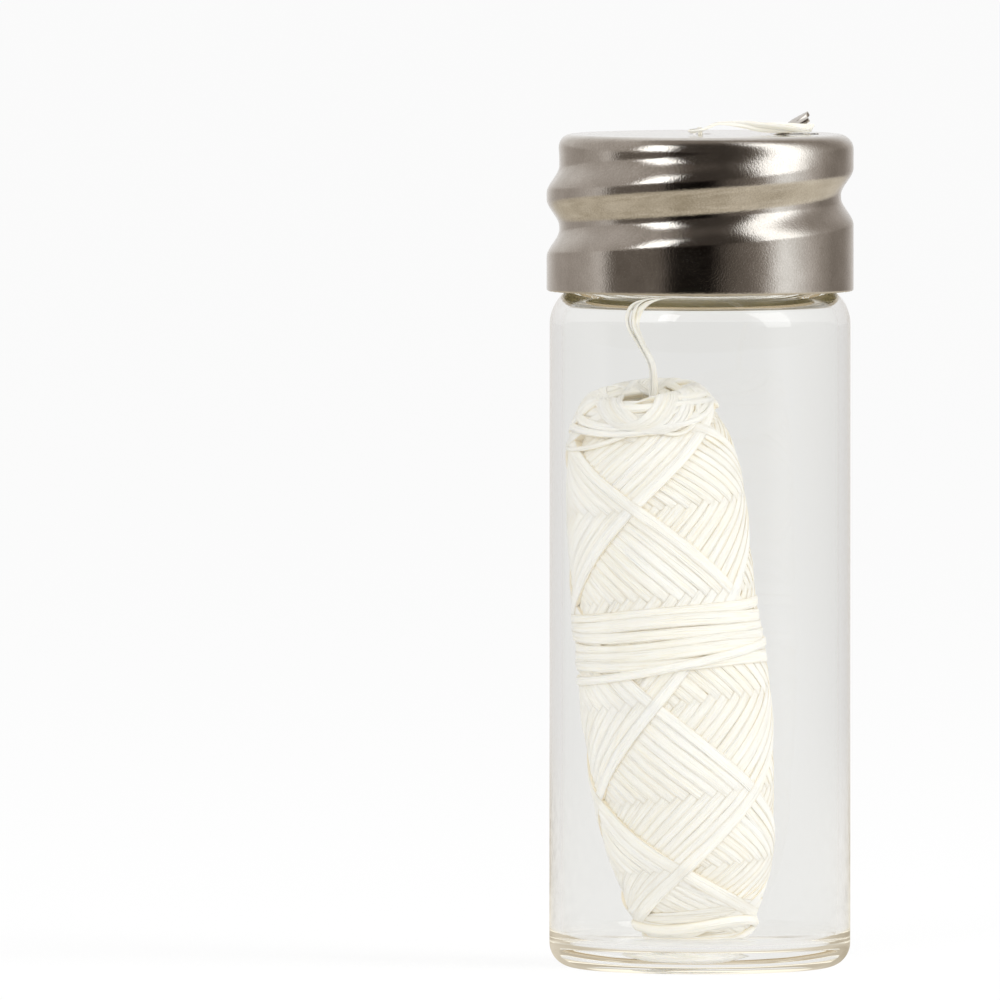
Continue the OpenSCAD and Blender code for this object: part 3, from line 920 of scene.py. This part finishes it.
belt = {
    "low": 22.9, "high": 28.0,  # mm up the spool
    "turns": 6, "width": 1.0, "thick": 0.24, "startAngle": 0.9, "points": 3000,
    "wobble": [(0.16, 1.3, 0), (0.1, 2.9, 1)], "widthWave": (0.1, 0.7, 0),
    "tone": 0.55, "toneWave": (0.3, 1, 0),
}
tie = {  # the round wrap below it
    "height": 23.0, "tilt": 0.75, "climb": 0.5, "width": 0.75, "thick": 0.5, "highAt": 0.35,
    "turns": 1.15, "start": 0.17, "points": 900, "ends": 14, "endWidth": 0.4, "tone": 0.8,
}
loops = {  # where the strokes turn back: along the outline from and to, in mm, and how many turns
    "rim": {
        "from": -2.6, "to": 6.4, "turns": 13.3, "width": 0.62, "thick": 0.44,
        "sway": 0.35, "slant": 1.5, "waves": 0.87, "startAngle": 2.2, "roundness": 0.6},
    "ropes": {
        "from": -1.5, "to": -0.4, "turns": 8.1, "width": 0.64, "thick": 0.34,
        "sway": 0.12, "slant": 1.8, "waves": 3.045, "startAngle": -2.2, "roundness": 0.6},
    "foot": {
        "from": -48.6, "to": -44.4, "turns": 4.2, "width": 0.72, "thick": 0.46,
        "sway": 0.4, "slant": 0.9, "waves": 0.87, "startAngle": 0.9, "roundness": 0.95},
}
everyLoop = {
    "points": 2600, "ends": 30, "endWidth": 0.35, "endThick": 0.1, "slantFrom": 2.0,
    "sways": [(1, 1.37, 0), (0.6, 2.61, 1)], "widthWave": (0.1, 0.9, 0),
    "tone": 0.55, "toneWave": (0.4, 0.8, 0),
}


def windBelt():
    b = belt
    t = np.linspace(0, 1, b["points"])
    angle = b["startAngle"] + turn * b["turns"] * t
    s = b["high"] + (b["low"] - b["high"]) * t + waver(angle, *b["wobble"])
    return evenly(angle, upSide(s), b["width"] + waver(angle, b["widthWave"]),
                  np.full_like(t, b["thick"]), b["tone"] + waver(angle, b["toneWave"]))


def windTie():
    w = tie
    t = np.linspace(0, 1, w["points"])
    angle = turn * (w["start"] + w["turns"] * t)
    s = w["height"] + w["tilt"] * np.cos(angle - w["highAt"]) + w["climb"] * t
    ends = np.minimum(1, np.minimum(t, 1 - t) * w["ends"])
    width = w["width"] * (w["endWidth"] + (1 - w["endWidth"]) * ends)
    return evenly(angle, upSide(s), width, w["thick"] * ends, np.full_like(t, w["tone"]))


def windLoops(way):
    every = everyLoop
    t = np.linspace(0, 1, every["points"])
    angle = way["startAngle"] + turn * way["turns"] * t
    sway = way["sway"] * waver(angle, *every["sways"])
    sway += waver(angle, (way["slant"], way["waves"], every["slantFrom"]))
    v = outlineAlong[rimPoint] + way["from"] + (way["to"] - way["from"]) * t + sway
    ends = np.minimum(1, np.minimum(t, 1 - t) * every["ends"])
    width = way["width"] * (every["endWidth"] + (1 - every["endWidth"]) * ends)
    thick = way["thick"] * (every["endThick"] + (1 - every["endThick"]) * ends)
    return evenly(angle, v, width + waver(angle, every["widthWave"]), thick,
                  every["tone"] + waver(angle, every["toneWave"]))


upperSections = (-0.5, -0.42, -0.25, 0, 0.25, 0.42, 0.5)
lowerSections = (-0.5, -0.33, 0, 0.33, 0.5)

laid = {}  # of each piece: its band, a point out of how many is kept, and its roundness


def lay(name, path, sections, every, roundness=0):
    laid[name] = (layBand(path, sections), every, roundness)


underTurns = 2 * floss["underCycles"] * floss["strokeTurns"]
# the lower layer takes the darker band tones, 0 to 0.5: painted shade for floss lying under the
# upper layer, with tones differing at random within that range
lay("wound_under", windStrokes(floss["underCycles"], floss["groupAt"] - turn * underTurns,
                               (0.0, 0.5)), lowerSections, 6)
print("lower layer laid")
lay("wound_over", windStrokes(floss["topCycles"], floss["groupAt"], (0.3, 1.0)),
    upperSections, 4)
print("upper layer laid")
lay("wound_belt", windBelt(), upperSections, 4)
for name, way in loops.items():
    lay("wound_" + name, windLoops(way), upperSections, 3, way["roundness"])
lay("wound_tie", windTie(), upperSections, 3)
print("belt and loops laid, highest heap", round(float(heap.max()), 2), "mm, mean",
      round(float(heap.mean()), 2))


def pressed(h):
    return spool["cap"] * (1 - np.exp(-h / spool["cap"]))


# The heart lies as deep under the outline as the floss on it is thick
meanHeap = soften(pressed(heap).mean(0)[:, None], spool["heartReach"])[:, 0]
wayOfRow = (np.arange(rows) + 0.5) * spool["cell"]


def depthAt(v):
    return np.interp(v, wayOfRow, meanHeap)


# A band keeps a share of its own roundness where the heap under it is pressed flat
def makeBand(name, band, every, roundness):
    pick = np.arange(0, len(band["angle"]), every)
    angle, v, seat, crown = (band[key][pick] for key in ("angle", "v", "seat", "crown"))
    height = pressed(seat + crown) * (1 - roundness) + (pressed(seat) + crown) * roundness
    top = onSpool(angle, v, height - depthAt(v))
    edge = [0, -1]
    under = pressed(band["bed"][pick][:, edge]) - depthAt(v[:, edge]) - floss["sunk"]
    sunk = onSpool(angle[:, edge], v[:, edge], under)
    middle = sunk.mean(1, keepdims=True)
    sunk = middle + (sunk - middle) * floss["sunkWidth"]
    rings = np.concatenate([top, sunk[:, ::-1]], 1)
    count, sides = rings.shape[:2]
    across = np.concatenate([np.linspace(0, 1, sides - 2), [1, 0]])
    uv = np.stack([np.repeat(pick * floss["step"], sides), np.tile(across, count)], -1)
    return makeFlossMesh(name, rings, tubeFaces(count, sides), uv,
                         np.repeat(band["tone"][pick], sides), spool["smooth"], woundFloss)


bands = {name: makeBand(name, *values) for name, values in laid.items()}
for name, piece in bands.items():
    print(name, len(piece.data.polygons), "faces, volume", round(volumeOf(piece) / mm ** 3, 1))


def makeHeart():
    v = np.linspace(0, outlineAlong[-1], spool["heartPoints"])
    r, height = raised(v, -depthAt(v) + spool["heartLift"])
    r = np.maximum(r, 0)
    r[0] = 0
    outline = list(zip(r.tolist(), height.tolist())) + [(0, float(height[-1]))]
    piece = turnOutline("floss_heart", outline, spool["heartAround"])
    co = points(piece) / mm
    angle, radius = np.arctan2(co[:, 1], co[:, 0]), np.hypot(co[:, 0], co[:, 1])
    movePoints(piece, inVial(angle, radius, co[:, 2]) * mm)
    placeUv(piece.data, np.stack([angle, co[:, 2]], -1) * spool["heartUv"])
    smoothShade(piece, spool["smooth"])
    piece.data.materials.append(woundFloss)
    return piece


heart = makeHeart()
for piece in (heart, *bands.values()):
    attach(piece, "vial")
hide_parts("floss_core")
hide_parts("floss_winding")
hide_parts("floss_belt")
print("spool made")


# The glass vial

vial = {
    "radius": 12.5, "wall": 1.0, "bodyHeight": 53.4, "height": 67.8,
    "neckRadius": 10.8, "boreRadius": 9.6, "shoulder": 3.5, "heel": 2.0,
    "floor": 1.8, "floorRise": 0.12, "innerHeel": 1.4, "hollowRadius": 8.0, "hollowHeight": 0.4,
    "lip": 0.5, "innerLip": 0.35,
    "straight": (6, 4),  # mm above the base and below the shoulder
    "pitch": 5.3, "ridgeHeight": 1.1, "ridgeWidth": 2.2, "ridgeAt": 63.95,  # on the left side
    "ridgeCrest": 0.12, "ridgeFoot": 0.55,  # shares of its width
    "ridgeRun": (-120, 345), "ridgeFade": 30, "ridgeFrom": 3.2,  # mm above the body
    "neckRow": 0.22, "around": 192,
}


def vialOutline():
    v = vial
    r, h, bore, lip = v["radius"], v["bodyHeight"], v["boreRadius"], v["innerLip"]
    low, high = v["straight"][0], h - v["straight"][1]
    out = [(v["hollowRadius"] * k / 6, v["hollowHeight"] * (1 - (k / 6) ** 2)) for k in range(7)]
    out += arc((r - v["heel"], v["heel"]), v["heel"], -90, 0, 12)
    out += [(r, z) for z in np.linspace(low, high, 8)]
    centre = (r - v["shoulder"], h)
    reach = math.degrees(math.acos((v["neckRadius"] - centre[0]) / v["shoulder"]))
    out += arc(centre, v["shoulder"], 0, reach, 14)
    top = v["height"] - v["lip"]
    out += [(v["neckRadius"], z) for z in np.arange(out[-1][1] + 0.2, top, v["neckRow"])]
    out += arc((v["neckRadius"] - v["lip"], top), v["lip"], 0, 90, 6)
    out += arc((bore + lip, v["height"] - lip), lip, 90, 180, 5)
    inner = v["shoulder"] - v["wall"]
    innerReach = math.degrees(math.acos((bore - centre[0]) / inner))
    fall = arc(centre, inner, innerReach, 0, 12)
    out += [(bore, z) for z in (v["height"] - 2, fall[0][1] + 3, fall[0][1] + 0.3)]
    out += fall
    innerR = r - v["wall"]
    out += [(innerR, z) for z in np.linspace(high, low, 8)]
    out += arc((innerR - v["innerHeel"], v["floor"] + v["innerHeel"]), v["innerHeel"], 0, -90, 10)
    out += [(innerR * k / 6, v["floor"] + v["floorRise"] * (1 - k / 5)) for k in (4, 3, 2, 1, 0)]
    return out


def makeVial():
    v = vial
    piece = turnOutline("vial_glass", vialOutline(), v["around"])
    co = points(piece) / mm
    radius = np.hypot(co[:, 0], co[:, 1])
    lift = np.zeros(len(co))
    onNeck = np.abs(radius - v["neckRadius"]) < 0.02
    onNeck &= co[:, 2] > v["bodyHeight"] + v["ridgeFrom"]
    low, high = v["ridgeRun"]
    for lap in (-1, 0, 1):  # the ridge, seen at each lap that passes an angle
        a = np.degrees(np.arctan2(co[:, 1], co[:, 0])) + 360 * lap
        centre = v["ridgeAt"] + v["pitch"] * (a - 180) / 360
        grown = ease(a, low, low + v["ridgeFade"]) * (1 - ease(a, high - v["ridgeFade"], high))
        away = np.abs(co[:, 2] - centre)
        ridge = 1 - ease(away, *(v["ridgeWidth"] * v[part] for part in ("ridgeCrest", "ridgeFoot")))
        lift = np.maximum(lift, np.where(onNeck, v["ridgeHeight"] * grown * ridge, 0))
    scale = (radius + lift) / np.maximum(radius, 1e-6)
    co[:, :2] *= scale[:, None]
    movePoints(piece, co * mm)
    smoothShade(piece, 50)
    piece.data.materials.append(clearGlass)
    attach(piece, "vial")
    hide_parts("glass_vial")
    piece.visible_shadow = False  # light reaches the floss as if the glass weren't there
    piece.visible_diffuse = False


makeVial()
print("vial made")


# The screw cap and its cutter tab

cap = {
    "radius": 12.75, "foot": 56.2, "top": 69.2, "corner": 1.3, "sheet": 0.4,
    "hole": 0.9, "plateFrom": 1.6, "plateEdge": 10.4, "row": 0.18,
    "grooveDepth": 1.05, "grooveWidth": 4.8, "grooveAt": 61.4, "pitch": 5.3,
    # degrees at which the groove begins, its upper side comes nearer, and it ends
    "fadeIn": (80, 165), "closeUp": (400, 530), "fadeOut": (625, 705),
    "flatShare": 0.05, "around": 288,
    "seed": 5, "roughness": 0.012,  # of its lower edge
}
tab = {
    "reach": 5.9, "length": 3.8, "width": 3.0, "tipWidth": 1.9, "rise": 30, "twist": 16,
    "bendRun": 0.9,  # mm over which the sheet leaves the plate and bends up
    "notchDepth": 1.1, "notchWidth": 0.8, "gap": 0.15, "sheet": 0.36,
    "tucked": 0.25, "sunk": 0.02,  # mm into the plate
}
softEdge = {"width": 0.05 * mm, "segments": 2, "sharperThan": 50, "smooth": 35}


def grooveCut(angle, z):  # how deep the rolled groove is, at an angle that counts on
    c = cap
    up = z - (c["grooveAt"] + c["pitch"] * (angle - 180) / 360)
    half = c["grooveWidth"] / 2
    reach = np.where(up > 0, up / (1 + 2 * ease(angle, *c["closeUp"])), -up)
    depth = c["grooveDepth"] * ease(angle, *c["fadeIn"]) * (1 - ease(angle, *c["fadeOut"]))
    return depth * (1 - ease(reach, half * c["flatShare"], half))


def thicken(piece, thickness, offset):
    sheet = piece.modifiers.new("sheet", "SOLIDIFY")
    sheet.thickness = thickness * mm
    sheet.offset = offset
    return sheet


def softenEdges(piece):
    edges = piece.modifiers.new("edges", "BEVEL")
    edges.width = softEdge["width"]
    edges.segments = softEdge["segments"]
    edges.limit_method = "ANGLE"
    edges.angle_limit = math.radians(softEdge["sharperThan"])
    applyModifiers(piece)
    smoothShade(piece, softEdge["smooth"])


def cutSlot(piece):  # that the tab was lanced from
    long, wide = tab["length"] + tab["gap"], tab["width"] + 2 * tab["gap"]
    pickNone()
    bpy.ops.mesh.primitive_cube_add(
        size=1, scale=(long * mm, wide * mm, 3 * cap["sheet"] * mm),
        location=((tab["reach"] + long / 2) * mm, 0, (cap["top"] - cap["sheet"] / 2) * mm))
    punch = newPiece("punch")
    slot = piece.modifiers.new("slot", "BOOLEAN")
    slot.object = punch
    slot.operation = "DIFFERENCE"
    slot.solver = "EXACT"
    applyModifiers(piece)
    bpy.data.objects.remove(punch)


def makeScrewCap():
    c = cap
    shoulder = c["top"] - c["corner"]
    outline = [(c["hole"], c["top"])]
    outline += [(r, c["top"]) for r in np.linspace(c["plateFrom"], c["plateEdge"], 12)]
    outline += arc((c["radius"] - c["corner"], shoulder), c["corner"], 90, 0, 10)
    rows = np.arange(shoulder - c["row"], c["foot"] + 0.1, -c["row"])
    outline += [(c["radius"], z) for z in rows]
    outline += [(c["radius"] - 0.02, c["foot"] + 0.08), (c["radius"] - 0.08, c["foot"])]
    piece = turnOutline("cap_sheet", outline, c["around"])
    co = points(piece) / mm
    radius = np.hypot(co[:, 0], co[:, 1])
    a = np.degrees(np.arctan2(co[:, 1], co[:, 0])) % 360
    cut = np.maximum(grooveCut(a, co[:, 2]), grooveCut(a + 360, co[:, 2]))
    cut = cut * ease(radius, c["plateEdge"], c["radius"] - c["corner"] + 0.3)
    co[:, :2] *= ((radius - cut) / radius)[:, None]
    rough = np.random.default_rng(c["seed"]).normal(0, c["roughness"], len(co))
    co[:, 2] += np.where(co[:, 2] < c["foot"] + 0.02, np.abs(rough), 0)
    movePoints(piece, co * mm)
    # spin can leave the sheet inside out: its faces are turned to look outwards
    upper = [p for p in piece.data.polygons if p.center.z > (c["top"] - 0.01) * mm]
    if sum(p.normal.z for p in upper) < 0:
        startEdit(piece)
        pickAll()
        bpy.ops.mesh.flip_normals()
        endEdit()
    piece.data.materials.append(satinSteel)
    piece.data.materials.append(shadedLacquer)
    sheet = thicken(piece, c["sheet"], -1)
    sheet.use_even_offset = True
    sheet.material_offset = 1
    applyModifiers(piece)
    cutSlot(piece)
    softenEdges(piece)
    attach(piece, "cap")
    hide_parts("screw_cap")
    piece.visible_diffuse = False  # the floss right under it stays as light as the rest


def makeCutterTab():
    t = tab
    pickNone()
    bpy.ops.mesh.primitive_grid_add(x_subdivisions=12, y_subdivisions=6, size=1)
    piece = newPiece("cutter_tab")
    co = points(piece)
    share = co[:, 0] + 0.5  # 0 at the fold, 1 at the tip
    side = co[:, 1] * 2
    width = t["width"] + (t["tipWidth"] - t["width"]) * share
    notch = t["notchDepth"] * np.clip(1 - np.abs(side) * t["tipWidth"] / t["notchWidth"], 0, 1)
    run = share * (t["length"] - notch * ease(share, 0.3, 1))
    rise, bendRun = math.radians(t["rise"]), t["bendRun"]
    angle = rise * np.clip(run / bendRun, 0, 1)
    bent = np.clip(run, 0, bendRun)
    x = np.sin(angle) / rise * bendRun + (run - bent) * math.cos(rise)
    z = (1 - np.cos(angle)) / rise * bendRun + (run - bent) * math.sin(rise)
    z += side * width / 2 * math.tan(math.radians(t["twist"])) * ease(share, 0.15, 0.7)
    lift = cap["top"] - cap["sheet"] / 2 - t["sunk"]
    spots = np.stack([t["reach"] - t["tucked"] + x, side * width / 2, lift + z], -1)
    movePoints(piece, spots * mm)
    thicken(piece, t["sheet"], 0)
    softenEdges(piece)
    piece.data.materials.append(satinSteel)
    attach(piece, "cap")
    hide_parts("screw_cap")


makeScrewCap()
makeCutterTab()
print("cap and tab made")

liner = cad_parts["cap_liner"]
liner.data.materials.clear()
liner.data.materials.append(linerFoam)
print("liner dressed")
